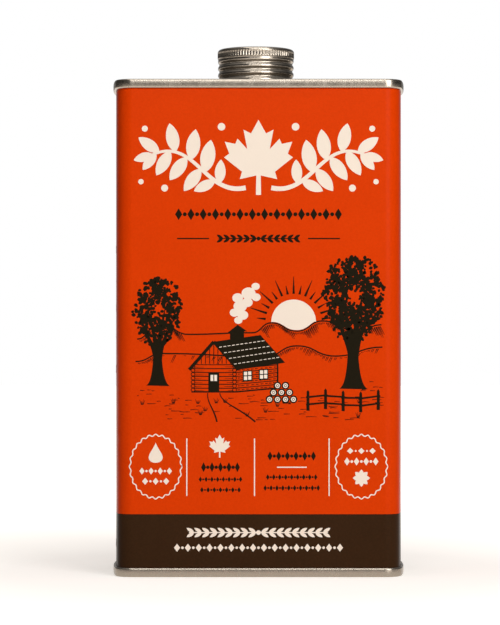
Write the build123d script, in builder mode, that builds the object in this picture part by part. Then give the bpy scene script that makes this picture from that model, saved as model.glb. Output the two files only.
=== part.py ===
# Maple syrup tin: an oblong tinplate can with a seamed end at the top and the foot, and a
# knurled screw cap on a short neck. The tin is shut and full, so each piece is solid.
# Sizes are in millimetres. +Z is up, +X runs along the wide face, -Y is the front.
# The origin is at the middle of the foot, on the surface that the tin stands on.
import os

from build123d import *

os.makedirs("parts", exist_ok=True)

# Tin body: flat front and back, gently bowed narrow sides, rounded upright corners
body_width = 91.0
body_depth = 41.0
side_bow = 1.8
corner_radius = 5.0
tin_height = 156.0

# Double seams that lock the two ends to the body
seam_height = 2.9
seam_overhang = 0.85
seam_width = 1.5
seam_outer_round = 0.55
seam_inner_round = 0.4

# Panels inside the seams: a recess, with a raised field in it
recess_depth = 2.5
field_margin = 5.2
field_rise = 0.6
field_round = 0.35
field_corner_radius = 4.0

# Neck: the bead that clinches the threaded neck into the top panel
cap_x = -0.85
neck_radius = 13.7
neck_height = 0.8
neck_round = 0.35

# Screw cap: rolled threads in the skirt, a knurled band, a rounded lip and a sunk top
cap_height = 12.3
cap_radius = 12.25
cap_lip_round = 0.9
cap_top_field_radius = 10.4
cap_top_field_depth = 0.3
cap_top_field_round = 0.25
skirt_radius = 12.1
skirt_height = 9.4

thread_count = 4
thread_pitch = 2.2
thread_depth = 0.4
thread_groove_radius = 0.95
first_thread_height = 0.9

foot_bead_radius = 0.5
foot_bead_overhang = 0.3

knurl_count = 82
knurl_radius = 0.27
knurl_depth = 0.2
knurl_length = 1.95
knurl_gap_above_skirt = 0.05

# Heights and places that follow from the sizes above
half_width = body_width / 2
half_depth = body_depth / 2
shoulder_x = half_width - side_bow
top_seam_z = tin_height - seam_height
panel_z = tin_height - recess_depth
neck_z = panel_z + field_rise
cap_z = neck_z + neck_height
cap_top_z = cap_z + cap_height
knurl_z = cap_z + skirt_height + knurl_gap_above_skirt

cap_axis = Axis((cap_x, 0, 0), (0, 0, 1))
cap_section = Plane(origin=(cap_x, 0, cap_z), x_dir=(1, 0, 0), z_dir=(0, -1, 0))

# Plan of the body, shared by the body and both ends
with BuildSketch() as tin_plan:
    with BuildLine():
        Line((-shoulder_x, -half_depth), (shoulder_x, -half_depth))
        ThreePointArc((shoulder_x, -half_depth), (half_width, 0), (shoulder_x, half_depth))
        Line((shoulder_x, half_depth), (-shoulder_x, half_depth))
        ThreePointArc((-shoulder_x, half_depth), (-half_width, 0), (-shoulder_x, -half_depth))
    make_face()
    fillet(tin_plan.vertices(), radius=corner_radius)


# Body: the painted wall, from seam to seam
with BuildPart() as can_body:
    with BuildSketch(Plane.XY.offset(seam_height)):
        add(tin_plan.sketch)
    extrude(amount=tin_height - 2 * seam_height)
can_body.part.label = "can_body"
export_step(can_body.part, "parts/can_body.step")


# Bottom end: the seam that the tin stands on, and the panel sunk inside it
with BuildPart() as bottom_end:
    with BuildSketch(Plane.XY):
        add(tin_plan.sketch)
        offset(amount=seam_overhang)
    extrude(amount=seam_height)
    bottom_outer_edges = bottom_end.faces().sort_by(Axis.Z)[0].edges()
    bottom_outer_edges += bottom_end.faces().sort_by(Axis.Z)[-1].edges()
    fillet(bottom_outer_edges, radius=seam_outer_round)
    with BuildSketch(Plane.XY):
        add(tin_plan.sketch)
        offset(amount=seam_overhang - seam_width)
    extrude(amount=recess_depth, mode=Mode.SUBTRACT)
    bottom_foot = bottom_end.faces().sort_by(Axis.Z)[0]
    fillet(bottom_foot.inner_wires()[0].edges(), radius=seam_inner_round)
    with BuildSketch(Plane.XY.offset(recess_depth)) as bottom_field_plan:
        add(tin_plan.sketch)
        offset(amount=-field_margin)
        fillet(bottom_field_plan.vertices(), radius=field_corner_radius)
    extrude(amount=-field_rise)
    bottom_field = bottom_end.faces(Select.LAST).filter_by(Axis.Z).sort_by(Axis.Z)[0]
    fillet(bottom_field.edges(), radius=field_round)
bottom_end.part.label = "bottom_end"
export_step(bottom_end.part, "parts/bottom_end.step")


# Top end: the same seam turned over, with the panel that holds the neck
with BuildPart() as top_end:
    with BuildSketch(Plane.XY.offset(top_seam_z)):
        add(tin_plan.sketch)
        offset(amount=seam_overhang)
    extrude(amount=seam_height)
    top_outer_edges = top_end.faces().sort_by(Axis.Z)[0].edges()
    top_outer_edges += top_end.faces().sort_by(Axis.Z)[-1].edges()
    fillet(top_outer_edges, radius=seam_outer_round)
    with BuildSketch(Plane.XY.offset(panel_z)):
        add(tin_plan.sketch)
        offset(amount=seam_overhang - seam_width)
    extrude(amount=recess_depth, mode=Mode.SUBTRACT)
    top_rim = top_end.faces().sort_by(Axis.Z)[-1]
    fillet(top_rim.inner_wires()[0].edges(), radius=seam_inner_round)
    with BuildSketch(Plane.XY.offset(panel_z)) as top_field_plan:
        add(tin_plan.sketch)
        offset(amount=-field_margin)
        fillet(top_field_plan.vertices(), radius=field_corner_radius)
    extrude(amount=field_rise)
    top_field = top_end.faces(Select.LAST).filter_by(Axis.Z).sort_by(Axis.Z)[-1]
    fillet(top_field.edges(), radius=field_round)
top_end.part.label = "top_end"
export_step(top_end.part, "parts/top_end.step")


# Neck: the low bead round the cap's foot
with BuildPart() as neck:
    with BuildSketch(Plane.XY.offset(neck_z)):
        with Locations((cap_x, 0)):
            Circle(neck_radius)
    extrude(amount=neck_height)
    fillet(neck.faces().sort_by(Axis.Z)[-1].edges(), radius=neck_round)
neck.part.label = "neck"
export_step(neck.part, "parts/neck.step")


# Screw cap: skirt and crown, then the rolled threads, the foot bead and the knurls
with BuildPart() as screw_cap:
    with BuildSketch(Plane.XY.offset(cap_z)):
        with Locations((cap_x, 0)):
            Circle(skirt_radius)
    extrude(amount=skirt_height)
    with BuildSketch(Plane.XY.offset(cap_z + skirt_height)):
        with Locations((cap_x, 0)):
            Circle(cap_radius)
    extrude(amount=cap_height - skirt_height)
    crown_edges = screw_cap.edges().filter_by(GeomType.CIRCLE).group_by(Axis.Z)[-1]
    fillet(crown_edges, radius=cap_lip_round)
    with BuildSketch(Plane.XY.offset(cap_top_z - cap_top_field_depth)):
        with Locations((cap_x, 0)):
            Circle(cap_top_field_radius)
    extrude(amount=cap_top_field_depth, mode=Mode.SUBTRACT)
    sunk_edges = screw_cap.edges().filter_by(GeomType.CIRCLE).group_by(Axis.Z)[-1]
    fillet(sunk_edges.sort_by(SortBy.RADIUS)[0], radius=cap_top_field_round)

    with BuildSketch(cap_section):
        for turn in range(thread_count):
            groove_z = first_thread_height + (turn + 0.5) * thread_pitch
            with Locations((skirt_radius - thread_depth + thread_groove_radius, groove_z)):
                Circle(thread_groove_radius)
    revolve(axis=cap_axis, mode=Mode.SUBTRACT)

    with BuildSketch(cap_section):
        with Locations((skirt_radius + foot_bead_overhang - foot_bead_radius, foot_bead_radius)):
            Circle(foot_bead_radius)
    revolve(axis=cap_axis)

    with BuildSketch(Plane.XY.offset(knurl_z)):
        with Locations((cap_x, 0)):
            with PolarLocations(cap_radius - knurl_depth + knurl_radius, knurl_count):
                Circle(knurl_radius)
    extrude(amount=knurl_length, mode=Mode.SUBTRACT)
screw_cap.part.label = "screw_cap"
export_step(screw_cap.part, "parts/screw_cap.step")
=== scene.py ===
import math
import random

import bpy
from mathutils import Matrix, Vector
from mathutils.geometry import tessellate_polygon


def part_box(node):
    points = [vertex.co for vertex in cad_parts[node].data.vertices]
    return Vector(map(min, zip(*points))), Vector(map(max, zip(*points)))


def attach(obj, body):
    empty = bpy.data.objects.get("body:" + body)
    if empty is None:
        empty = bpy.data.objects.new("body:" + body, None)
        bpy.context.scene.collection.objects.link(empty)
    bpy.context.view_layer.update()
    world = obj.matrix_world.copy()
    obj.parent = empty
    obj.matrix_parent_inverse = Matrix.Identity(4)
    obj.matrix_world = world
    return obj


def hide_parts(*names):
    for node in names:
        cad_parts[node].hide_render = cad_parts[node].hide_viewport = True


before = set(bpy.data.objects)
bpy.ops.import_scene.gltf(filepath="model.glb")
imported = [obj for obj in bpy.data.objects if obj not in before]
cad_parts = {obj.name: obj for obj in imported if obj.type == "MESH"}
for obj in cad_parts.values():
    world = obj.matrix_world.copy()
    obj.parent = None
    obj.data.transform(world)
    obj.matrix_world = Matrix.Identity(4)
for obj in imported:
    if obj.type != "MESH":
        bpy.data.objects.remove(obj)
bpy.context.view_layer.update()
mm = 0.001


# A socket that takes part in sums: each operator adds the Math node that it stands for
class Wire:
    def __init__(self, kit, socket):
        self.kit = kit
        self.socket = socket

    def sum(self, operation, first, second):
        return self.kit.node("ShaderNodeMath", {"operation": operation}, {0: first, 1: second})

    def __add__(self, other):
        return self.sum("ADD", self, other)

    __radd__ = __add__

    def __sub__(self, other):
        return self.sum("SUBTRACT", self, other)

    def __rsub__(self, other):
        return self.sum("SUBTRACT", other, self)

    def __mul__(self, other):
        return self.sum("MULTIPLY", self, other)

    __rmul__ = __mul__


# The nodes of one material, or of the world
class NodeKit:
    def __init__(self, tree):
        self.tree = tree
        tree.nodes.clear()

    def node(self, kind, settings=None, sockets=None, output=0):
        made = self.tree.nodes.new(kind)
        for key, value in (settings or {}).items():
            setattr(made, key, value)
        for key, value in (sockets or {}).items():
            if isinstance(value, Wire):
                self.tree.links.new(value.socket, made.inputs[key])
            else:
                made.inputs[key].default_value = value
        return Wire(self, made.outputs[output]) if made.outputs else None

    def mixColour(self, factor, first, second):
        sockets = {0: factor, 6: first, 7: second}
        return self.node("ShaderNodeMix", {"data_type": "RGBA"}, sockets, 2)

    def mapRange(self, value, low, high, toLow=0.0, toHigh=1.0):
        sockets = {0: value, 1: low, 2: high, 3: toLow, 4: toHigh}
        return self.node("ShaderNodeMapRange", {}, sockets)

    def place(self, stretch=(1, 1, 1)):
        coords = self.node("ShaderNodeTexCoord", output=3)
        return self.node("ShaderNodeMapping", {}, {"Vector": coords, "Scale": stretch})

    def noise(self, where, scale, detail=2.0, rough=0.5):
        sockets = {"Vector": where, "Scale": scale, "Detail": detail, "Roughness": rough}
        return self.node("ShaderNodeTexNoise", {}, sockets)

    def bump(self, height, strength, distance):
        sockets = {"Height": height, "Strength": strength, "Distance": distance}
        return self.node("ShaderNodeBump", {}, sockets)

    def principled(self, sockets):
        shader = self.node("ShaderNodeBsdfPrincipled", {}, sockets)
        self.node("ShaderNodeOutputMaterial", {}, {"Surface": shader})


def newMaterial(name):
    material = bpy.data.materials.new(name)
    material.use_nodes = True
    return material, NodeKit(material.node_tree)


def tone(red, green, blue):
    # a colour as a paint chart gives it, in steps of 255, turned into linear light
    linear = []
    for step in (red, green, blue):
        part = step / 255
        linear.append(part / 12.92 if part <= 0.04045 else ((part + 0.055) / 1.055) ** 2.4)
    return (*linear, 1.0)


enamel = {
    "orange": tone(222, 62, 2),
    "orangeShade": tone(214, 58, 1),
    "brown": tone(58, 36, 19),
    "brownShade": tone(52, 32, 16),
    "shadeFrom": 0.35,
    "shadeTo": 0.65,
    "roughness": 0.34,
    "roughnessSpread": 0.12,
    "gloss": 0.03,
    "mottleScale": 1500.0,
    "mottleShare": 0.7,
    "cloudScale": 60.0,
    "grainStrength": 0.25,
    "grainDepth": 0.01 * mm,
}


def paintMaterial(name, light, shade):
    # stoved enamel: a fine mottle with soft clouds under it
    material, kit = newMaterial(name)
    where = kit.place()
    mottle = kit.noise(where, enamel["mottleScale"], 3.0, 0.6)
    cloud = kit.noise(where, enamel["cloudScale"])
    blend = mottle * enamel["mottleShare"] + cloud * (1 - enamel["mottleShare"])
    factor = kit.mapRange(blend, enamel["shadeFrom"], enamel["shadeTo"])
    kit.principled({
        "Base Color": kit.mixColour(factor, shade, light),
        "Roughness": enamel["roughness"] + (mottle - 0.5) * enamel["roughnessSpread"],
        "Specular IOR Level": enamel["gloss"],
        "Normal": kit.bump(mottle, enamel["grainStrength"], enamel["grainDepth"]),
    })
    return material


ink = {
    "cream": tone(247, 230, 212),
    "creamFade": 0.03,
    "dark": tone(33, 27, 14),
    "darkFade": 0.3,
    "roughness": 0.5,
    "roughnessSpread": 0.1,
    "gloss": 0.03,
    "grainScale": 1800.0,
}


def inkMaterial(name, colour, fade):
    material, kit = newMaterial(name)
    grain = kit.noise(kit.place(), ink["grainScale"])
    faded = tuple(part * (1 - fade) for part in colour[:3]) + (1.0,)
    kit.principled({
        "Base Color": kit.mixColour(grain, faded, colour),
        "Roughness": ink["roughness"] + (grain - 0.5) * ink["roughnessSpread"],
        "Specular IOR Level": ink["gloss"],
    })
    return material


metal = {
    "bright": tone(184, 173, 159),
    "dull": tone(165, 154, 140),
    "seamRoughness": 0.26,
    "capRoughness": 0.24,
    "weldRoughness": 0.34,
    "roughnessSpread": 0.2,
    "seamGrain": (1.0, 1.0, 0.35),
    "capGrain": (1.0, 1.0, 1.0),
    "weldGrain": (1.0, 1.0, 0.1),
    "grainScale": 900.0,
    "grainShare": 0.6,
    "blotchScale": 220.0,
    "grainStrength": 0.12,
    "grainDepth": 0.01 * mm,
}


def metalMaterial(name, stretch, roughness):
    # bare tinplate: rolling grain, drawn out by the stretch, and dull blotches
    material, kit = newMaterial(name)
    grain = kit.noise(kit.place(stretch), metal["grainScale"], 3.0, 0.6)
    blotch = kit.noise(kit.place(), metal["blotchScale"], 3.0)
    blend = grain * metal["grainShare"] + blotch * (1 - metal["grainShare"])
    kit.principled({
        "Base Color": kit.mixColour(blend, metal["dull"], metal["bright"]),
        "Metallic": 1.0,
        "Roughness": roughness + (blend - 0.5) * metal["roughnessSpread"],
        "Normal": kit.bump(grain, metal["grainStrength"], metal["grainDepth"]),
    })
    return material


orangePaint = paintMaterial("orangeEnamel", enamel["orange"], enamel["orangeShade"])
brownPaint = paintMaterial("brownEnamel", enamel["brown"], enamel["brownShade"])
creamInk = inkMaterial("creamInk", ink["cream"], ink["creamFade"])
darkInk = inkMaterial("darkInk", ink["dark"], ink["darkFade"])
seamMetal = metalMaterial("seamTinplate", metal["seamGrain"], metal["seamRoughness"])
capMetal = metalMaterial("capMetal", metal["capGrain"], metal["capRoughness"])
weldMetal = metalMaterial("weldTinplate", metal["weldGrain"], metal["weldRoughness"])
print("finishes made")


def makePiece(name, points, faces, material, smooth=True):
    mesh = bpy.data.meshes.new(name)
    mesh.from_pydata(points, [], faces)
    mesh.validate()
    mesh.materials.append(material)
    piece = bpy.data.objects.new(name, mesh)
    bpy.context.scene.collection.objects.link(piece)
    if smooth:
        mesh.shade_smooth()
    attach(piece, "root")
    return piece


def ringFaces(rows, count):
    # faces between closed rows of points, each row as long as the next
    faces = []
    for row in range(rows - 1):
        here = row * count
        above = here + count
        for step in range(count):
            after = (step + 1) % count
            faces.append((here + step, here + after, above + after, above + step))
    return faces


def arc(centre, radius, start, finish, steps):
    # points of an arc in a section, with angles in degrees from the outward direction
    points = []
    for step in range(steps + 1):
        angle = math.radians(start + (finish - start) * step / steps)
        points.append((centre[0] + radius * math.cos(angle), centre[1] + radius * math.sin(angle)))
    return points


bodyLow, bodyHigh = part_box("can_body")
tin = {
    "halfWidth": bodyHigh[0],
    "halfDepth": bodyHigh[1],
    "bow": 1.8 * mm,
    "cornerRadius": 5.0 * mm,
    "wallFoot": bodyLow[2],
    "wallTop": bodyHigh[2],
    "frontSteps": 24,
    "cornerSteps": 28,
    "sideSteps": 36,
}


def makePlan(halfWidth, halfDepth, bow, radius):
    # a loop round the tin, from the middle of the front towards the right, as points with their
    # outward normals; a quarter is worked out and then mirrored twice
    sweep = (halfDepth ** 2 + bow ** 2) / (2 * bow)
    sideX = halfWidth - sweep
    cornerY = halfDepth - radius
    cornerX = sideX + math.sqrt((sweep - radius) ** 2 - cornerY ** 2)
    turn = math.asin(cornerY / (sweep - radius))
    quarter = []
    for step in range(tin["frontSteps"]):
        quarter.append((cornerX * step / tin["frontSteps"], -halfDepth, -math.pi / 2))
    for step in range(tin["cornerSteps"]):
        angle = -math.pi / 2 + (math.pi / 2 - turn) * step / tin["cornerSteps"]
        x = cornerX + radius * math.cos(angle)
        quarter.append((x, -cornerY + radius * math.sin(angle), angle))
    for step in range(tin["sideSteps"] + 1):
        angle = -turn * (1 - step / tin["sideSteps"])
        quarter.append((sideX + sweep * math.cos(angle), sweep * math.sin(angle), angle))
    right = quarter + [(x, -y, -angle) for x, y, angle in reversed(quarter[:-1])]
    loop = right + [(-x, y, math.pi - angle) for x, y, angle in reversed(right[1:-1])]
    return [(x, y, math.cos(angle), math.sin(angle)) for x, y, angle in loop]


def planLengths(plan):
    # length of wall from the middle of the front to each point of the plan, and all the way round
    lengths = [0.0]
    for here, after in zip(plan, plan[1:] + plan[:1]):
        lengths.append(lengths[-1] + math.dist(here[:2], after[:2]))
    return lengths


wallPlan = makePlan(tin["halfWidth"], tin["halfDepth"], tin["bow"], tin["cornerRadius"])
wallLengths = planLengths(wallPlan)
wallRound = wallLengths[-1]


def onWall(along, up, lift):
    # a point on the painted wall: along it from the middle of the front, up from the foot
    along = along % wallRound
    first = 0
    last = len(wallLengths) - 1
    while last - first > 1:
        middle = (first + last) // 2
        if wallLengths[middle] <= along:
            first = middle
        else:
            last = middle
    here = wallPlan[first]
    after = wallPlan[(first + 1) % len(wallPlan)]
    part = (along - wallLengths[first]) / (wallLengths[first + 1] - wallLengths[first])
    x, y, normalX, normalY = (a + (b - a) * part for a, b in zip(here, after))
    return (x + normalX * lift, y + normalY * lift, up)


def outFrom(plan, out, height):
    # the whole plan as one row of points, moved out along its normals
    return [(x + normalX * out, y + normalY * out, height) for x, y, normalX, normalY in plan]


wall = {
    "bandTop": 19.7 * mm,
    "tuckIn": 0.06 * mm,
    "tuckHeight": 0.7 * mm,
}


def makeWallPiece(name, section, paint):
    # the section, as (out from the wall, height) points, carried round the tin
    points = []
    for out, height in section:
        points += outFrom(wallPlan, out, height)
    faces = ringFaces(len(section), len(wallPlan))
    piece = makePiece(name, points, faces, paint)
    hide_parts("can_body")


def makeWall():
    # the wall tucks in a little under each seam
    foot = tin["wallFoot"]
    top = tin["wallTop"]
    band = wall["bandTop"]
    tuck = wall["tuckIn"]
    rise = wall["tuckHeight"]
    makeWallPiece("footBand", [(-tuck, foot), (0, foot + rise), (0, band)], brownPaint)
    upper = [(0, band), (0, (band + top) / 2), (0, top - rise), (-tuck, top)]
    makeWallPiece("paintedWall", upper, orangePaint)


makeWall()
print("wall made")


seam = {
    "overhang": 0.85 * mm,
    "width": 1.5 * mm,
    "height": 2.9 * mm,
    "outerRound": 0.62 * mm,
    "innerRound": 0.42 * mm,
    "lowRound": 0.5 * mm,
    "crown": 0.04 * mm,
    "crownSteps": 6,
    "sunk": 2.5 * mm,
    "footRound": 0.5 * mm,
}

field = {
    "margin": 5.2 * mm,
    "corner": 4.0 * mm,
    "rise": 0.6 * mm,
    "round": 0.3 * mm,
    # out from its edge in rounds, and part of its rise, from its flat top to its foot
    "slope": ((-2.0, 1.0), (-1.3, 0.98), (-0.7, 0.86), (-0.2, 0.55), (0.2, 0.2), (0.6, 0.05), (1.2, 0.0)),
}


def seamSection():
    # from the sunk panel, up the inside, over the top and down to the wall; heights are from the
    # seam's lower edge
    tall = seam["height"]
    over = seam["overhang"]
    inside = over - seam["width"]
    panel = tall - seam["sunk"]
    foot = seam["footRound"]
    inner = seam["innerRound"]
    outer = seam["outerRound"]
    low = seam["lowRound"]
    section = arc((inside - foot, panel + foot), foot, -90, 0, 6)
    section += arc((inside + inner, tall - inner), inner, 180, 90, 8)
    section += arc((over - outer, tall - outer), outer, 90, 0, 12)
    for step in range(1, seam["crownSteps"]):
        part = step / seam["crownSteps"]
        height = tall - outer - (tall - outer - low) * part
        section.append((over + seam["crown"] * math.sin(math.pi * part), height))
    section += arc((over - low, low), low, 0, -90, 10)
    section.append((0.0, 0.0))
    return section


def makeEnd(name, node, edge, upward):
    # edge is the height where the seam meets the wall; upward is 1 at the top and -1 at the foot
    margin = field["margin"]
    fieldPlan = makePlan(tin["halfWidth"] - margin, tin["halfDepth"] - margin, tin["bow"], field["corner"])
    panel = seam["height"] - seam["sunk"]
    rows = []
    for out, part in field["slope"]:
        height = edge + (panel + field["rise"] * part) * upward
        rows.append(outFrom(fieldPlan, out * field["round"], height))
    for out, height in seamSection():
        rows.append(outFrom(wallPlan, out, edge + height * upward))
    points = [point for row in rows for point in row]

    count = len(wallPlan)
    faces = [loop[::-1] for loop in ringFaces(len(rows), count)]
    # strips from side to side close the field's flat top
    half = count // 2
    faces.append((0, 1, count - 1))
    for step in range(1, half - 1):
        faces.append((step, step + 1, count - step - 1, count - step))
    faces.append((half - 1, half, half + 1))
    if upward < 0:
        faces = [loop[::-1] for loop in faces]
    piece = makePiece(name, points, faces, seamMetal)
    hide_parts(node)


makeEnd("topSeam", "top_end", tin["wallTop"], 1)
makeEnd("footSeam", "bottom_end", tin["wallFoot"], -1)
print("ends made")


capLow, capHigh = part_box("screw_cap")
cap = {
    "x": (capLow[0] + capHigh[0]) / 2,
    "foot": capLow[2],
    "top": capHigh[2],
    "skirtRadius": 12.12 * mm,
    "bandRadius": 12.25 * mm,
    "mouthRadius": 11.2 * mm,
    "mouthRise": 0.1 * mm,
    "hemStart": 11.6 * mm,
    "hemRound": 0.5 * mm,
    "hemOut": 0.3 * mm,
    "threadLow": 1.15 * mm,
    "threadHigh": 8.75 * mm,
    "threadRows": 56,
    "threadPitch": 2.2 * mm,
    "threadDepth": 0.42 * mm,
    "threadTilt": 0.1 * mm,
    "threadNarrowing": 1.5,
    "firstValley": 3.1 * mm,
    # height, out from the skirt and share of thread, in mm, from the threads up to the band
    "shoulder": ((9.0, 0.0, 0.4), (9.2, 0.0, 0), (9.32, 0.02, 0), (9.38, 0.1, 0), (9.46, 0.13, 0)),
    "knurls": 82,
    "stepsPerKnurl": 10,
    "knurlDepth": 0.2 * mm,
    "knurlLow": 9.5 * mm,
    "knurlHigh": 11.25 * mm,
    "knurlRows": 8,
    "knurlSharpness": 1.6,
    "lipRound": 0.95 * mm,
    "sunkRadius": 10.4 * mm,
    "sunkDepth": 0.3 * mm,
    # out from the sunk top's radius, in mm, and part of its depth
    "sunkEdge": ((0.3, 0.0), (0.1, 0.3), (-0.1, 0.8), (-0.4, 1.0)),
}


def capSection():
    # (radius, height above the cap's foot, share of thread, share of knurl), from the foot up and
    # in to the middle of the top
    skirt = cap["skirtRadius"]
    band = cap["bandRadius"]
    tall = cap["top"] - cap["foot"]
    hem = cap["hemRound"]
    section = [(cap["mouthRadius"], cap["mouthRise"], 0, 0), (cap["hemStart"], 0.0, 0, 0)]
    bead = arc((skirt + cap["hemOut"] - hem, hem), hem, -90, 75, 10)
    section += [(radius, height, 0, 0) for radius, height in bead]

    span = cap["threadHigh"] - cap["threadLow"]
    for step in range(cap["threadRows"] + 1):
        section.append((skirt, cap["threadLow"] + span * step / cap["threadRows"], 1, 0))
    for height, out, share in cap["shoulder"]:
        section.append((skirt + out * mm, height * mm, share, 0))

    span = cap["knurlHigh"] - cap["knurlLow"]
    for step in range(cap["knurlRows"] + 1):
        part = step / cap["knurlRows"]
        share = min(1.0, 6 * part + 0.1, 6 * (1 - part) + 0.1)  # the knurls fade out at both ends
        section.append((band, cap["knurlLow"] + span * part, 0, share))

    lip = cap["lipRound"]
    section += [(radius, height, 0, 0) for radius, height in arc((band - lip, tall - lip), lip, 0, 90, 12)]
    edge = cap["sunkRadius"]
    depth = cap["sunkDepth"]
    section += [(edge + out * mm, tall - part * depth, 0, 0) for out, part in cap["sunkEdge"]]
    section += [(edge * part, tall - depth, 0, 0) for part in (0.75, 0.5, 0.25)]
    return section


def knurlCut(angle):
    wave = math.tanh(cap["knurlSharpness"] * math.cos(angle * cap["knurls"]))
    return 0.5 - 0.5 * wave / math.tanh(cap["knurlSharpness"])


def threadCut(angle, height):
    lifted = height - cap["threadTilt"] * math.cos(angle)
    turn = (lifted - cap["firstValley"]) / cap["threadPitch"]
    wave = 0.5 + 0.5 * math.cos(2 * math.pi * turn)
    return wave ** cap["threadNarrowing"]


def makeCap():
    steps = cap["knurls"] * cap["stepsPerKnurl"]
    section = capSection()
    points = []
    for radius, height, threadShare, knurlShare in section:
        for step in range(steps):
            angle = 2 * math.pi * step / steps
            out = radius
            out -= threadShare * cap["threadDepth"] * threadCut(angle, height)
            out -= knurlShare * cap["knurlDepth"] * knurlCut(angle)
            points.append((cap["x"] + out * math.cos(angle), out * math.sin(angle), cap["foot"] + height))
    faces = ringFaces(len(section), steps)
    points.append((cap["x"], 0.0, cap["top"] - cap["sunkDepth"]))
    last = (len(section) - 1) * steps
    for step in range(steps):
        faces.append((last + step, last + (step + 1) % steps, len(points) - 1))
    piece = makePiece("screwCap", points, faces, capMetal)
    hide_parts("screw_cap")


neckLow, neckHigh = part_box("neck")
neck = {
    "radius": (neckHigh[0] - neckLow[0]) / 2,
    "foot": neckLow[2],
    "top": neckHigh[2],
    "round": 0.35 * mm,
    "innerRadius": 10.5 * mm,
    "steps": 96,
}


def makeNeck():
    curve = neck["round"]
    section = [(neck["radius"], neck["foot"])]
    section += arc((neck["radius"] - curve, neck["top"] - curve), curve, 0, 90, 8)
    section += [(neck["innerRadius"], neck["top"])]
    points = []
    for out, height in section:
        for step in range(neck["steps"]):
            angle = 2 * math.pi * step / neck["steps"]
            points.append((cap["x"] + out * math.cos(angle), out * math.sin(angle), height))
    faces = ringFaces(len(section), neck["steps"])
    piece = makePiece("neckBead", points, faces, seamMetal)
    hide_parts("neck")


makeCap()
makeNeck()
print("cap made")


# The print is two inks laid on the wall as thin flat shapes. From here on, places and sizes of
# the print are in millimetres, across and up the face from the middle of the tin's foot.
printing = {
    "darkLift": 0.03 * mm,
    "creamLift": 0.07 * mm,
    "detailLift": 0.11 * mm,
    "layerStep": 0.0005 * mm,
    "layers": 64,
    "curveSteps": 28,
    "leastTurn": 1e-9,
    "seed": 7,
}


# What one ink prints: each shape stands a hair above the one before, so that no two share a plane
class Plate:
    def __init__(self):
        self.points = []
        self.faces = []
        self.layer = 0

    def nextLayer(self):
        self.layer = (self.layer + 1) % printing["layers"]
        return len(self.points)

    def shape(self, outline):
        start = self.nextLayer()
        self.points += [(x, z, self.layer) for x, z in outline]
        flat = [Vector((x, z, 0.0)) for x, z in outline]
        for loop in tessellate_polygon([flat]):
            corners = [flat[corner] for corner in loop]
            turn = (corners[1] - corners[0]).cross(corners[2] - corners[0]).z
            ordered = loop if turn > 0 else loop[::-1]
            if abs(turn) > printing["leastTurn"]:
                self.faces.append(tuple(start + corner for corner in ordered))

    def stroke(self, line, startWidth, endWidth=None):
        # a ribbon along a line; its width runs from one value to the other
        endWidth = startWidth if endWidth is None else endWidth
        start = self.nextLayer()
        last = len(line) - 1
        for spot, (x, z) in enumerate(line):
            before = line[max(spot - 1, 0)]
            after = line[min(spot + 1, last)]
            dx = after[0] - before[0]
            dz = after[1] - before[1]
            size = math.hypot(dx, dz) or 1.0
            half = (startWidth + (endWidth - startWidth) * spot / last) / 2
            self.points.append((x - dz / size * half, z + dx / size * half, self.layer))
            self.points.append((x + dz / size * half, z - dx / size * half, self.layer))
        for spot in range(last):
            here = start + 2 * spot
            self.faces.append((here, here + 1, here + 3, here + 2))

    def ring(self, outline, width):
        self.stroke(outline + outline[:2], width)

    def build(self, name, material, height, places):
        # places are lengths along the wall, where the middle of the print stands
        points = []
        faces = []
        for place in places:
            start = len(points)
            for x, z, layer in self.points:
                lift = height + layer * printing["layerStep"]
                points.append(onWall(x * mm + place, z * mm, lift))
            faces += [tuple(start + corner for corner in loop) for loop in self.faces]
        makePiece(name, points, faces, material, smooth=False)


def oval(x, z, wide, tall, steps=printing["curveSteps"], wave=0.0, waves=0):
    outline = []
    for step in range(steps):
        angle = 2 * math.pi * step / steps
        reach = 1 + wave * math.cos(waves * angle)
        outline.append((x + wide / 2 * reach * math.cos(angle), z + tall / 2 * reach * math.sin(angle)))
    return outline


def bezier(first, second, third, fourth, steps=14):
    spots = (first, second, third, fourth)
    line = []
    for step in range(steps + 1):
        t = step / steps
        weights = ((1 - t) ** 3, 3 * t * (1 - t) ** 2, 3 * t * t * (1 - t), t ** 3)
        line.append(tuple(sum(w * spot[axis] for w, spot in zip(weights, spots)) for axis in range(2)))
    return line


def turned(outline, x, z, angle):
    # a shape drawn about its own middle, turned and set down at a place
    c = math.cos(math.radians(angle))
    s = math.sin(math.radians(angle))
    return [(x + px * c - pz * s, z + px * s + pz * c) for px, pz in outline]


def mapleLeaf(size):
    # right half of a maple leaf of unit height, from the stalk to the tip, and its mirror image
    right = [(0.035, -0.5), (0.03, -0.24), (0.25, -0.29), (0.22, -0.19), (0.46, 0.0), (0.39, 0.05),
             (0.45, 0.21), (0.31, 0.18), (0.28, 0.25), (0.15, 0.11), (0.2, 0.37), (0.1, 0.32), (0.0, 0.5)]
    left = [(-x, z) for x, z in reversed(right[:-1])]
    return [(x * size, z * size) for x, z in right + left]


def plumpLeaf(length, wide):
    # a pointed oval that starts at its stalk
    upper = bezier((0, 0), (length * 0.25, wide * 0.75), (length * 0.75, wide * 0.6), (length, 0), 10)
    lower = bezier((length, 0), (length * 0.75, -wide * 0.6), (length * 0.25, -wide * 0.75), (0, 0), 10)
    return upper + lower[1:-1]


def syrupDrop(size):
    right = bezier((0, 0.55), (0.1, 0.25), (0.36, 0.0), (0.34, -0.2), 8)
    low = bezier((0.34, -0.2), (0.32, -0.52), (-0.32, -0.52), (-0.34, -0.2), 12)
    left = bezier((-0.34, -0.2), (-0.36, 0.0), (-0.1, 0.25), (0, 0.55), 8)
    return [(x * size, z * size) for x, z in reversed(right + low[1:] + left[1:-1])]


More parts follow.
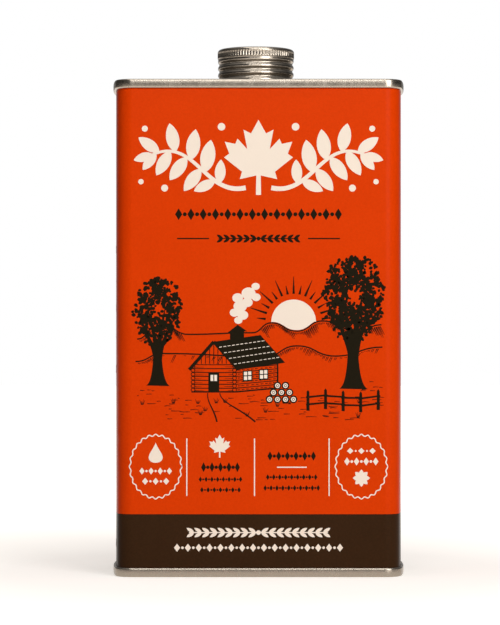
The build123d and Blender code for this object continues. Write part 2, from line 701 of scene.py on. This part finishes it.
def lozenge(x, z, wide, tall):
    return [(x - wide / 2, z), (x, z - tall / 2), (x + wide / 2, z), (x, z + tall / 2)]


def panel(left, right, low, high, rise=0.0):
    # a four-sided panel, whose right side stands higher by the rise
    return [(left, low), (right, low + rise), (right, high + rise), (left, high)]


def lozengeRow(plate, middle, z, wide, tall, count):
    # a border of lozenges with a dot between each two
    step = wide / (count - 1)
    dot = tall * 0.34
    for place in range(count):
        x = middle - wide / 2 + place * step
        plate.shape(oval(x, z, dot, dot, 12) if place % 2 else lozenge(x, z, step * 1.15, tall))


def leafRow(plate, middle, z, wide, tall, pairs):
    # a straight sprig: pairs of leaves that point away from the middle, along a thin stem
    plate.stroke([(middle - wide / 2, z), (middle + wide / 2, z)], tall * 0.1)
    step = wide / 2 / pairs
    leaf = plumpLeaf(tall * 0.78, tall * 0.3)
    for side in (-1, 1):
        for place in range(pairs):
            x = middle + side * (place + 0.35) * step
            for lean in (32, -32):
                plate.shape(turned(leaf, x, z, lean if side > 0 else 180 - lean))
    plate.shape(oval(middle, z, tall * 0.42, tall * 0.42, 14))


dark = Plate()
cream = Plate()
detail = Plate()  # fine dark lines on top of the cream
draw = random.Random(printing["seed"])


garland = {
    "middle": 131.4,
    "leaf": 23.5,
    "stem": ((4.0, -9.5), (17.0, -12.5), (20.0, 7.5), (34.0, 0.5)),
    "stemSteps": 40,
    "stemWidth": (1.5, 0.8),
    # step of the stem, lean from it in degrees, length
    "sprays": ((10, 62, 7.6), (12, -62, 7.4), (17, 58, 10.4), (19, -95, 8.8), (24, 62, 9.8), (26, -85, 9.0),
               (31, 66, 9.2), (33, -62, 8.8), (37, 52, 8.0), (38, -30, 6.8), (39, 8, 6.4)),
    "leafWidth": 0.44,
    # across, up from the garland's middle, size
    "berries": ((11.6, 9.6, 2.4), (29.4, -9.6, 2.2), (35.6, 9.0, 1.9), (36.8, -7.6, 1.7)),
}


def drawGarland():
    # a large leaf between two branches with plump leaves and berries
    z = garland["middle"]
    cream.shape(turned(mapleLeaf(garland["leaf"]), 0, z, 0))
    stem = bezier(*((x, z + up) for x, up in garland["stem"]), garland["stemSteps"])
    for side in (-1, 1):
        cream.stroke([(side * x, up) for x, up in stem], *garland["stemWidth"])
        for spot, lean, length in garland["sprays"]:
            x, up = stem[spot]
            nextX, nextUp = stem[spot + 1]
            along = math.degrees(math.atan2(nextUp - up, nextX - x))
            leaf = turned(plumpLeaf(length, length * garland["leafWidth"]), x, up, along + lean)
            cream.shape([(side * px, pz) for px, pz in leaf])
        for x, up, size in garland["berries"]:
            cream.shape(oval(side * x, z + up, size, size, 18))


rule = {
    "thin": 0.36,
    # middle, height, width, tallness and count of each dark row of lozenges
    "heading": (0.0, 113.6, 50.0, 3.7, 27),
    "features": ((-11.9, 34.4, 10.6, 3.1, 9), (-11.9, 30.6, 12.6, 1.7, 15), (-11.9, 27.3, 11.6, 1.7, 13),
                 (10.4, 37.9, 13.6, 2.9, 11), (10.4, 31.3, 15.0, 1.8, 17), (10.4, 27.9, 16.6, 1.8, 19)),
    "sprig": (0.0, 106.0, 25.0, 2.9, 6),
    "besideSprig": (15.5, 25.5, 106.0),
    "besideSprigWidth": 0.38,
    "dividers": (-22.45, -1.25, 22.1),
    "dividerFoot": 25.4,
    "dividerTop": 43.4,
    "shortLine": ((5.8, 34.4), (15.1, 34.4)),
    "smallLeaf": (-12.15, 41.0),
    "smallLeafSize": 7.2,
    "bandSprig": (0.0, 13.95, 43.5, 3.5, 9),
    "bandLozenges": (0.0, 9.2, 51.0, 2.5, 31),
}


def drawHeading():
    lozengeRow(dark, *rule["heading"])
    leafRow(dark, *rule["sprig"])
    near, far, up = rule["besideSprig"]
    for side in (-1, 1):
        dark.stroke([(side * near, up), (side * far, up)], rule["besideSprigWidth"])


def drawFeatures():
    for x in rule["dividers"]:
        cream.stroke([(x, rule["dividerFoot"]), (x, rule["dividerTop"])], rule["thin"])
    cream.shape(turned(mapleLeaf(rule["smallLeafSize"]), *rule["smallLeaf"], 0))
    cream.stroke(list(rule["shortLine"]), rule["thin"])
    for row in rule["features"]:
        lozengeRow(dark, *row)


def drawBand():
    leafRow(cream, *rule["bandSprig"])
    lozengeRow(cream, *rule["bandLozenges"])


seal = {
    "wide": 16.0,
    "tall": 19.7,
    "across": 32.2,
    "height": 34.6,
    "steps": 192,
    "scallops": 24,
    "scallopDepth": 0.03,
    "drop": 6.4,
    "dropUp": 4.0,
    # up from the seal's middle, width, tallness and count of each row of lozenges
    "dropRows": ((-1.4, 8.6, 2.2, 7), (-4.6, 6.6, 2.2, 5)),
    "starRows": ((4.9, 7.0, 1.9, 5), (1.6, 9.0, 2.5, 7)),
    "starUp": -3.6,
    "starPetal": (2.7, 1.5),
    "starPetals": 8,
}


def drawSealEdge(plate, x, z):
    edge = oval(x, z, seal["wide"], seal["tall"], seal["steps"], seal["scallopDepth"], seal["scallops"])
    plate.ring(edge, rule["thin"])


def drawSeals():
    # one seal with a syrup drop, and one with a star of petals
    z = seal["height"]
    for side in (-1, 1):
        drawSealEdge(cream, side * seal["across"], z)
    x = -seal["across"]
    cream.shape(turned(syrupDrop(seal["drop"]), x, z + seal["dropUp"], 0))
    for up, wide, tall, count in seal["dropRows"]:
        lozengeRow(cream, x, z + up, wide, tall, count)
    x = seal["across"]
    for petal in range(seal["starPetals"]):
        angle = 360 * petal / seal["starPetals"]
        cream.shape(turned(plumpLeaf(*seal["starPetal"]), x, z + seal["starUp"], angle))
    for up, wide, tall, count in seal["starRows"]:
        lozengeRow(cream, x, z + up, wide, tall, count)


hills = {
    "far": ((-38, 74.5), (-31, 79.5), (-22, 76.0), (-2, 76.5), (4, 79.6), (12, 77.0), (20, 80.2), (31, 77.0),
            (38.5, 79.0)),
    "near": ((-38.5, 67.5), (-30, 70.0), (2, 69.0), (12, 72.4), (24, 69.2), (38.8, 72.0)),
    "lineWidth": 0.42,
    "stepsPerHill": 12,
    "farHatch": 3.4,
    "farLean": 0.9,
    "nearHatch": 2.6,
    "nearLean": -0.8,
    "bareFrom": -24,
    "bareTo": 1,
}


def hillLine(points):
    # a soft line through a few hill tops and dips
    line = []
    for here, after in zip(points, points[1:]):
        middle = (here[0] + after[0]) / 2
        line += bezier(here, (middle, here[1]), (middle, after[1]), after, hills["stepsPerHill"])[:-1]
    line.append(points[-1])
    dark.stroke(line, hills["lineWidth"])
    return line


def drawHatching(line, longest, lean, bare):
    # slanting pairs of strokes under a hill's line, but none where the far hill is bare
    for x, z in line[1:-1]:
        if bare and hills["bareFrom"] < x < hills["bareTo"]:
            continue
        length = longest * draw.uniform(0.35, 1.0) * (0.6 + 0.4 * math.sin(x * 0.9))
        for shift in (0.0, 0.45):
            top = (x + shift, z - 0.5)
            dark.stroke([top, (top[0] + lean * length * 0.6, top[1] - length)], 0.26, 0.08)


def drawHills():
    far = hillLine(hills["far"])
    near = hillLine(hills["near"])
    drawHatching(far, hills["farHatch"], hills["farLean"], True)
    drawHatching(near, hills["nearHatch"], hills["nearLean"], False)
    return far


sun = {
    "x": 11.0,
    "z": 79.9,
    "radius": 7.0,
    "steps": 36,
    "aboveRidge": 0.35,
    "rays": 15,
    "rayStart": 8.8,
    "shortRay": 11.6,
    "longRay": 14.2,
    "rayWidth": (0.75, 0.15),
}


def drawSun(ridge):
    # its lower edge follows the far ridge
    x = sun["x"]
    z = sun["z"]
    size = sun["radius"]
    disc = arc((x, z), size, 0, 180, sun["steps"])
    disc += [(px, pz + sun["aboveRidge"]) for px, pz in ridge if abs(px - x) < size - 0.1]
    cream.shape(disc)
    for ray in range(sun["rays"]):
        angle = math.pi * (ray + 0.5) / sun["rays"]
        reach = sun["longRay"] if ray % 2 else sun["shortRay"]
        c = math.cos(angle)
        s = math.sin(angle)
        start = sun["rayStart"]
        dark.stroke([(x + start * c, z + start * s), (x + reach * c, z + reach * s)], *sun["rayWidth"])


maples = {
    "left": {"x": -31.6, "foot": 60.0, "tall": 33.0, "spread": 7.4, "leaves": 620},
    "right": {"x": 29.6, "foot": 59.0, "tall": 40.5, "spread": 9.6, "leaves": 1100},
    "trunkPart": 0.42,
    "trunkWidth": 0.085,
    # side, where it leaves the trunk, reach
    "boughs": ((-1, 0.62, 0.62), (1, 0.7, 0.66), (-1, 0.86, 0.36), (1, 0.92, 0.3), (1, 0.5, 0.4)),
    "lobes": 9,
    "leafLength": (0.8, 1.5),
    "leafWidth": 0.75,
    "lightFrom": 0.9,
    "openness": 0.72,
}


def drawTrunk(x, foot, trunk, thick):
    left = bezier((x - thick * 1.25, foot), (x - thick * 0.5, foot + 1.4),
                  (x - thick * 0.5, foot + trunk * 0.6), (x - thick * 0.42, foot + trunk))
    right = bezier((x + thick * 0.42, foot + trunk), (x + thick * 0.45, foot + trunk * 0.6),
                   (x + thick * 0.55, foot + 1.2), (x + thick * 1.35, foot - 0.2))
    dark.shape((left + right)[::-1])


def crownLobes():
    # (across, up, size) of the lobes that make up a crown of unit size
    lobes = [(0.0, 0.0, 0.55)]
    for turn in range(maples["lobes"]):
        angle = 2 * math.pi * turn / maples["lobes"] + 0.2
        lobes.append((0.62 * math.cos(angle), 0.66 * math.sin(angle), 0.36 + 0.06 * math.sin(turn * 2.3)))
    return lobes


def drawTree(tree):
    # a round-crowned maple: spreading foot, boughs and a crown of small dabs
    x = tree["x"]
    foot = tree["foot"]
    tall = tree["tall"]
    spread = tree["spread"]
    trunk = tall * maples["trunkPart"]
    thick = tall * maples["trunkWidth"]
    drawTrunk(x, foot, trunk, thick)
    for side, rise, reach in maples["boughs"]:
        start = (x + side * thick * 0.2, foot + trunk * rise)
        tip = (x + side * spread * reach, start[1] + tall * 0.34)
        bend = (x + side * spread * reach * 0.3, start[1] + tall * 0.14)
        dark.stroke(bezier(start, bend, (tip[0], tip[1] - 2), tip), thick * 0.55, 0.15)

    crownZ = foot + trunk + (tall - trunk) * 0.48
    crownTall = (tall - trunk) * 0.56
    lobes = crownLobes()
    for leaf in range(tree["leaves"]):
        across, up, size = lobes[leaf % len(lobes)]
        angle = draw.uniform(0, 2 * math.pi)
        reach = math.sqrt(draw.uniform(0.0, 1.0)) * size
        lit = math.cos(angle - maples["lightFrom"]) > 0.2
        if lit and draw.uniform(0, 1) < maples["openness"] and reach > size * 0.25:
            reach = size * draw.uniform(0.88, 1.0)  # the lit side keeps its edge, and opens inside it
        px = x + spread * (across + reach * math.cos(angle))
        pz = crownZ + crownTall * (up + reach * math.sin(angle))
        length = draw.uniform(*maples["leafLength"])
        dark.shape(turned(plumpLeaf(length, length * maples["leafWidth"]), px, pz, draw.uniform(0, 360)))


cabin = {
    "x": -14.0,
    "foot": 58.0,
    "wallWide": 12.0,
    "wallTall": 8.6,
    "gable": 6.6,
    "length": 14.0,
    "wallRise": 1.21,  # how much higher the far end of the wall, eave and ridge is drawn
    "roofRise": 2.2,
    "peakRise": 2.6,
    "logs": 7,
    "ticks": 9,
    "tickStep": 1.42,
    "boards": 9,
    "eave": 1.7,
    "farEave": 0.6,
    "roofRows": 5,
    "tiles": 11,
    "doorWide": 3.4,
    "doorTall": 6.0,
    "windows": (4.6, 9.6),
    "windowFoot": 2.8,
    "windowWide": 3.0,
    "windowTall": 3.4,
    "ventWide": 4.4,
    "ventTall": 2.1,
    # across and up from the vent, and size
    "smoke": ((0.4, 6.0, 2.6), (1.8, 7.6, 3.4), (-0.8, 8.4, 3.0), (1.0, 10.4, 4.2), (3.2, 11.6, 3.4),
              (0.2, 13.0, 3.4), (3.6, 14.4, 4.4), (6.0, 13.2, 2.8), (5.8, 16.6, 2.6)),
}


def between(start, finish, part):
    return (start[0] + (finish[0] - start[0]) * part, start[1] + (finish[1] - start[1]) * part)


def drawLogs(left, right, foot):
    # courses of logs with their round ends, and the long wall behind the right corner
    logTall = cabin["wallTall"] / cabin["logs"]
    far = right + cabin["length"]
    for row in range(cabin["logs"]):
        z = foot + (row + 0.5) * logTall
        joint = z + logTall * 0.42
        dark.stroke([(left - 0.7, joint), (right + 0.7, joint)], 0.26)
        grain = z - logTall * 0.2
        dark.stroke([(left, grain), (left + draw.uniform(2, 4), grain)], 0.2, 0.06)
        grain = z - logTall * 0.15
        dark.stroke([(right - draw.uniform(1, 3), grain), (right, grain)], 0.08, 0.2)
        for logEnd in (left - 0.5, right + 0.5):
            dark.ring(oval(logEnd, z, logTall * 0.95, logTall * 0.95, 14), 0.24)
        dark.stroke([(right + 0.9, joint), (far, joint + cabin["wallRise"])], 0.26)
        for tick in range(cabin["ticks"]):
            start = right + 1.2 + tick * cabin["tickStep"] + draw.uniform(0, 0.4)
            rise = (start - right) / cabin["length"] * cabin["wallRise"]
            dark.stroke([(start, z + rise - 0.12), (start + 0.9, z + rise - 0.06)], 0.3, 0.12)
    farFoot = foot + cabin["wallRise"]
    dark.stroke([(far, farFoot), (far, farFoot + cabin["wallTall"])], 0.5)
    dark.stroke([(left - 1, foot), (right + 1, foot)], 0.45)
    dark.stroke([(right + 1, foot), (far, farFoot)], 0.45)


def drawGable(x, left, wallTop):
    halfWide = cabin["wallWide"] / 2
    for board in range(cabin["boards"]):
        px = left + 0.8 + board * (cabin["wallWide"] - 1.6) / (cabin["boards"] - 1)
        top = wallTop + cabin["gable"] * (1 - abs(px - x) / halfWide) - 0.3
        dark.stroke([(px, wallTop + 0.2), (px, top)], 0.24)


def drawRoof(x, left, right, wallTop):
    # the long slope faces the viewer, with rows of shingles
    drop = cabin["eave"] * cabin["gable"] / (cabin["wallWide"] / 2)
    eaveZ = wallTop - drop + 0.2
    reach = cabin["length"] + cabin["farEave"]
    peak = (x, wallTop + cabin["gable"] + 0.5)
    nearFoot = (right + cabin["eave"], eaveZ)
    farFoot = (nearFoot[0] + reach, eaveZ + cabin["roofRise"])
    farPeak = (x + reach, wallTop + cabin["gable"] + cabin["peakRise"])
    dark.shape([nearFoot, farFoot, farPeak, peak])
    dark.stroke([(left - cabin["eave"], eaveZ), peak], 1.0)
    dark.stroke([peak, nearFoot], 1.0)
    for row in range(1, cabin["roofRows"]):
        start = between(peak, nearFoot, row / cabin["roofRows"])
        finish = between(farPeak, farFoot, row / cabin["roofRows"])
        for tile in range(cabin["tiles"]):
            tileStart = between(start, finish, (tile + 0.12) / cabin["tiles"])
            tileEnd = between(start, finish, (tile + 0.78) / cabin["tiles"])
            cream.stroke([tileStart, tileEnd], 0.2)


def drawDoor(x, foot):
    half = cabin["doorWide"] / 2
    dark.shape(panel(x - half, x + half, foot, foot + cabin["doorTall"]))
    for left in (x - 1.0, x + 0.15):
        cream.shape(panel(left, left + 0.85, foot + 3.4, foot + 5.3))


def drawWindows(right, foot):
    half = cabin["windowWide"] / 2
    for place in cabin["windows"]:
        x = right + place
        z = foot + cabin["windowFoot"] + place / cabin["length"] * cabin["wallRise"]
        dark.shape(panel(x - half, x + half, z, z + cabin["windowTall"], 0.2))
        for pane in (-0.65, 0.65):
            for up in (0.5, 1.95):
                low = z + up + 0.1 * (pane > 0)
                cream.shape(panel(x + pane - 0.5, x + pane + 0.5, low, low + 1.15))


def drawVent(x, z):
    # a steam vent on the ridge, and its steam
    half = cabin["ventWide"] / 2
    dark.shape(panel(x - half, x + half, z, z + cabin["ventTall"], 0.5))
    dark.shape([(x - 3.1, z + 2.0), (x + 3.1, z + 2.6), (x + 0.2, z + 4.6)])
    for across, up, size in cabin["smoke"]:
        cream.shape(oval(x + across, z + up, size, size * 0.86, 24))


def drawCabin():
    # a log cabin seen from its gable end
    x = cabin["x"]
    foot = cabin["foot"]
    left = x - cabin["wallWide"] / 2
    right = x + cabin["wallWide"] / 2
    wallTop = foot + cabin["wallTall"]
    drawLogs(left, right, foot)
    drawGable(x, left, wallTop)
    drawRoof(x, left, right, wallTop)
    drawDoor(x, foot)
    drawWindows(right, foot)
    drawVent(x + cabin["length"] * 0.52, wallTop + cabin["gable"] + cabin["wallRise"])


woodPile = {
    "x": 7.2,
    "foot": 54.4,
    "log": 2.5,
    "rows": (4, 3, 2),
}


def drawWoodPile():
    size = woodPile["log"]
    for row, count in enumerate(woodPile["rows"]):
        for place in range(count):
            x = woodPile["x"] + (place - (count - 1) / 2) * size
            z = woodPile["foot"] + size / 2 + row * size * 0.86
            dark.shape(oval(x, z, size * 0.96, size * 0.96, 20))
            cream.shape(oval(x, z, size * 0.62, size * 0.62, 18))
            detail.ring(oval(x, z, size * 0.3, size * 0.3, 12), 0.16)


fence = {
    "start": 15.5,
    "finish": 37.5,
    "foot": 52.4,
    "posts": 5,
    "rails": (1.6, 3.9),
}


def drawFence():
    before = None
    for post in range(fence["posts"]):
        x = fence["start"] + (fence["finish"] - fence["start"]) * post / (fence["posts"] - 1)
        z = fence["foot"] + 0.5 * math.sin(post * 1.7)
        dark.shape([(x - 0.5, z - 0.3), (x + 0.5, z - 0.3), (x + 0.42, z + 5.6),
                    (x, z + 6.2), (x - 0.42, z + 5.6)])
        if before:
            for rail in fence["rails"]:
                dark.stroke([(before[0] - 0.6, before[1] + rail), (x + 0.6, z + rail + 0.2)], 0.62, 0.5)
        before = (x, z)


ground = {
    "dashes": 95,
    "tufts": 15,
    "blades": (-0.7, -0.2, 0.35, 0.8),
    # across from the cabin's door, height and half the path's width, from the door down
    "path": ((0, 57.6, 1.9), (0, 54.5, 2.2), (4, 53.0, 4.0), (7, 48.6, 6.0)),
}


def drawGround():
    # short dashes of ground, tufts of grass, and the path from the cabin's door
    for dash in range(ground["dashes"]):
        x = draw.uniform(-38, 38)
        z = draw.uniform(49.0, 57.0) + (4.5 if abs(x) > 30 else 0)
        length = draw.uniform(0.8, 3.4) * (0.6 if z > 56 else 1.0)
        if -17.5 < x < -10.5 and z > 52:
            continue  # the path stays clear
        dark.stroke([(x, z), (x + length * 0.5, z + draw.uniform(-0.12, 0.16)), (x + length, z)], 0.24, 0.1)
    for tuft in range(ground["tufts"]):
        x = draw.uniform(-37, 37)
        z = draw.uniform(49.5, 56.0)
        for lean in ground["blades"]:
            dark.stroke([(x + lean * 0.3, z), (x + lean * 1.1, z + draw.uniform(1.0, 1.7))], 0.24, 0.08)
    for side in (-1, 1):
        edge = [(cabin["x"] + across + side * half, z) for across, z, half in ground["path"]]
        dark.stroke(bezier(*edge, 18), 0.28, 0.5)


drawGarland()
drawHeading()
drawSeals()
drawFeatures()
drawBand()
drawSun(drawHills())
drawTree(maples["left"])
drawTree(maples["right"])
drawCabin()
drawWoodPile()
drawFence()
drawGround()
frontAndBack = (0.0, wallRound / 2)
dark.build("darkPrint", darkInk, printing["darkLift"], frontAndBack)
cream.build("creamPrint", creamInk, printing["creamLift"], frontAndBack)
detail.build("detailPrint", darkInk, printing["detailLift"], frontAndBack)


narrowSide = {
    "middle": 84.0,
    "leaf": 9.0,
    "sprigs": (103.0, 65.0, 9.6),
    "sprigWide": 21.0,
    "sprigTall": 2.9,
    "sprigPairs": 5,
}


def drawSide():
    # the narrow side without the weld has a seal between two sprigs, and one more on the band
    side = Plate()
    drawSealEdge(side, 0.0, narrowSide["middle"])
    side.shape(turned(mapleLeaf(narrowSide["leaf"]), 0.0, narrowSide["middle"], 0))
    for z in narrowSide["sprigs"]:
        leafRow(side, 0.0, z, narrowSide["sprigWide"], narrowSide["sprigTall"], narrowSide["sprigPairs"])
    side.build("sidePrint", creamInk, printing["creamLift"], (wallRound * 3 / 4,))


drawSide()


weld = {
    "bareWidth": 4.4 * mm,
    "bareLift": 0.02 * mm,
    "lapWidth": 1.3 * mm,
    "lapRise": 0.14 * mm,
    "rows": 40,
}


def makeWeld():
    # a bare strip down the other narrow side, with the lap of the sheet's edges along its middle
    bare = weld["bareWidth"] / 2
    lift = weld["bareLift"]
    lap = weld["lapWidth"] / 2
    rise = weld["lapRise"]
    half = [(-bare, -lift), (-bare, lift), (-lap, lift), (-lap + rise * 0.5, rise * 0.8), (-lap + rise, rise)]
    section = half + [(-along, out) for along, out in reversed(half)]
    foot = tin["wallFoot"]
    top = tin["wallTop"]
    points = []
    for row in range(weld["rows"] + 1):
        up = foot + (top - foot) * row / weld["rows"]
        points += [onWall(wallRound / 4 + along, up, out) for along, out in section]
    count = len(section)
    faces = []
    for row in range(weld["rows"]):
        for step in range(count - 1):
            here = row * count + step
            faces.append((here, here + 1, here + count + 1, here + count))
    piece = makePiece("sideSeam", points, faces, weldMetal)
    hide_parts("can_body")


makeWeld()
print("print made")


studio = {
    "ambient": 0.12,  # what the world gives to plain surfaces
    "gloomAhead": 0.05,  # what shiny ones show from the front, from behind and from above
    "glowBehind": 0.28,
    "behindFrom": 0.6,
    "glowAbove": 0.35,
    "aboveFrom": 0.5,
    "fullGlow": 0.95,
    "floorSize": 6.0,
    "floorColour": (0.75, 0.73, 0.7, 1.0),
    "floorTint": (1.0, 0.94, 0.88, 1.0),
    "floorGloss": 0.8,
    "glowNear": 0.52,
    "glowFar": 1.2,
    "nearReach": 0.08,
    "farReach": 0.35,
}


def shownRays(kit):
    # 1 for rays from the camera, and 1 for rays off gloss or through glass
    seen, gloss, through = (kit.node("ShaderNodeLightPath", output=place) for place in (0, 3, 6))
    return seen, kit.node("ShaderNodeMath", {"operation": "MAXIMUM"}, {0: gloss, 1: through})


def makeFloor():
    # paper that glows a little where it's seen, and more further from the tin
    half = studio["floorSize"] / 2
    mesh = bpy.data.meshes.new("floor")
    corners = [(-half, -half, 0), (half, -half, 0), (half, half, 0), (-half, half, 0)]
    mesh.from_pydata(corners, [], [(0, 1, 2, 3)])
    floor = bpy.data.objects.new("floor", mesh)
    bpy.context.scene.collection.objects.link(floor)
    material, kit = newMaterial("floorPaper")
    seen, shiny = shownRays(kit)
    away = kit.node("ShaderNodeVectorMath", {"operation": "LENGTH"}, {0: kit.place()}, 1)
    near = studio["nearReach"]
    spread = kit.mapRange(away, near, studio["farReach"], studio["glowNear"], studio["glowFar"])
    paper = kit.node("ShaderNodeBsdfDiffuse", {}, {"Color": studio["floorColour"]})
    shown = (seen + shiny * studio["floorGloss"]) * spread
    glow = kit.node("ShaderNodeEmission", {}, {"Color": studio["floorTint"], "Strength": shown})
    both = kit.node("ShaderNodeAddShader", {}, {0: paper, 1: glow})
    kit.node("ShaderNodeOutputMaterial", {}, {"Surface": both})
    mesh.materials.append(material)


def makeWorld():
    world = bpy.data.worlds.new("studioWorld")
    world.use_nodes = True
    world.cycles.sampling_method = "NONE"
    bpy.context.scene.world = world
    kit = NodeKit(world.node_tree)
    seen, shiny = shownRays(kit)
    way = kit.node("ShaderNodeTexCoord", output=0)
    back = kit.node("ShaderNodeSeparateXYZ", {}, {0: way}, 1)
    up = kit.node("ShaderNodeSeparateXYZ", {}, {0: way}, 2)
    full = studio["fullGlow"]
    behind = kit.mapRange(back, studio["behindFrom"], full, studio["gloomAhead"], studio["glowBehind"])
    above = kit.mapRange(up, studio["aboveFrom"], full, 0.0, studio["glowAbove"])
    level = seen + shiny * (behind + above) + (1 - seen - shiny) * studio["ambient"]
    glow = kit.node("ShaderNodeBackground", {}, {"Color": (1, 1, 1, 1), "Strength": level})
    kit.node("ShaderNodeOutputWorld", {}, {"Surface": glow})


lamps = {
    "key": {"place": (0.62, -1.05, 0.5), "aim": (0, 0, 0.09), "size": (0.6, 0.8), "power": 9.0},
    "front": {"place": (-0.05, -1.3, 0.75), "aim": (0, 0, 0.09), "size": (0.7, 0.4), "power": 5.4},
    "top": {"place": (0.0, -0.1, 1.1), "aim": (0, 0, 0.1), "size": (0.7, 0.5), "power": 3.0},
}


def makeLamp(name, lamp):
    light = bpy.data.lights.new(name, "AREA")
    light.shape = "RECTANGLE"
    light.size, light.size_y = lamp["size"]
    light.energy = lamp["power"]
    holder = bpy.data.objects.new(name, light)
    holder.location = lamp["place"]
    way = Vector(lamp["aim"]) - Vector(lamp["place"])
    holder.rotation_euler = way.to_track_quat("-Z", "Y").to_euler()
    bpy.context.scene.collection.objects.link(holder)


view = {
    "ahead": 0.8,  # from the tin's front face
    "eyeHeight": 75.8 * mm,
    "framedHeight": 195.6875 * mm,  # what the view takes in at the front face
    "shiftAcross": -0.0136,
    "shiftUp": 0.036,
    "sensor": 36.0,
    "clipStart": 0.01,
}


def makeCamera():
    camera = bpy.data.cameras.new("camera")
    camera.sensor_width = view["sensor"]
    camera.lens = view["sensor"] * view["ahead"] / view["framedHeight"]
    camera.shift_x = view["shiftAcross"]
    camera.shift_y = view["shiftUp"]
    camera.clip_start = view["clipStart"]
    holder = bpy.data.objects.new("camera", camera)
    holder.location = (0.0, -tin["halfDepth"] - view["ahead"], view["eyeHeight"])
    holder.rotation_euler = (math.pi / 2, 0.0, 0.0)
    bpy.context.scene.collection.objects.link(holder)
    bpy.context.scene.camera = holder


makeFloor()
makeWorld()
for lampName, lampFacts in lamps.items():
    makeLamp(lampName, lampFacts)
makeCamera()
bpy.context.scene.view_settings.view_transform = "Standard"
print("studio made")
